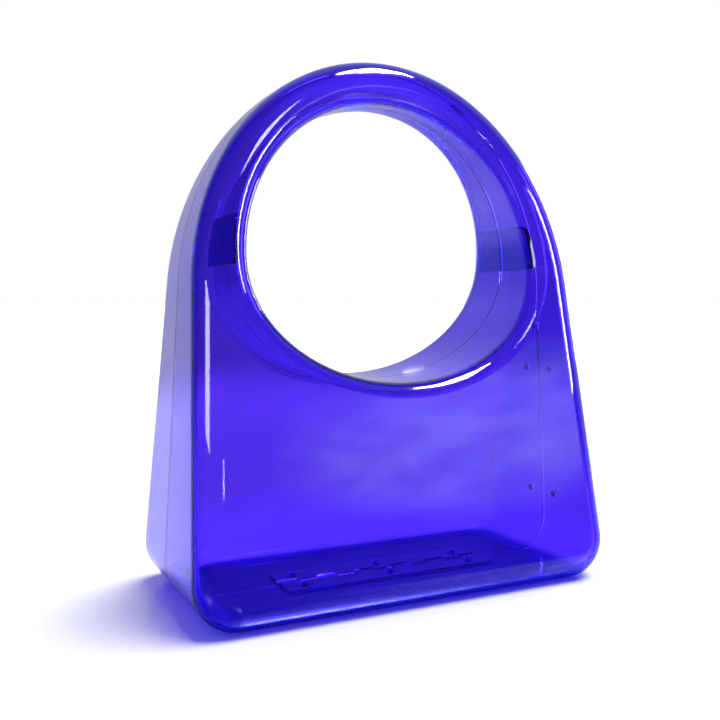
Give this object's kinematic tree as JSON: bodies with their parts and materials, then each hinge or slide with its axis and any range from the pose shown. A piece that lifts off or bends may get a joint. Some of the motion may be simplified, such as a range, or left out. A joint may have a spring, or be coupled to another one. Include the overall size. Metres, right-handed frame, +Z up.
{
  "type": "clear plastic top-handle box bag",
  "caption": "Rigid see-through clamshell handbag with an arched top, a large handle hole and two hollow halves hinged along the floor.",
  "frame": {"origin": "on the resting plane, under the middle of the floor", "axes": "+Z up, the front face towards -Y, +X to the right as seen from the front, the hinge along X"},
  "size_m": [0.2024, 0.1016, 0.24],
  "materials": {
    "shell": "polished see-through violet-blue plastic",
    "hinge": "moulded see-through violet plastic, satin",
    "tab": "see-through darker violet plastic",
    "stud": "dark violet plastic"
  },
  "bodies": {
    "back": {"back_shell": "shell", "hinge_leaf_back": "hinge", "hinge_pin": "hinge", "hinge_rivet_back_1": "hinge", "hinge_rivet_back_2": "hinge", "hinge_rivet_back_3": "hinge", "tab_left": "tab", "tab_right": "tab", "wall_stud_back_upper": "stud", "wall_stud_back_lower": "stud"},
    "front": {"front_shell": "shell", "hinge_leaf_front": "hinge", "hinge_rivet_front_1": "hinge", "hinge_rivet_front_2": "hinge", "hinge_rivet_front_3": "hinge", "wall_stud_front_upper": "stud", "wall_stud_front_lower": "stud"}
  },
  "joints": [
    {"name": "bag_hinge", "type": "hinge", "parent": "back", "child": "front", "pos_m": [0.0035, 0, 0.002], "axis": [1, 0, 0], "range_deg": [0, 90]}
  ]
}
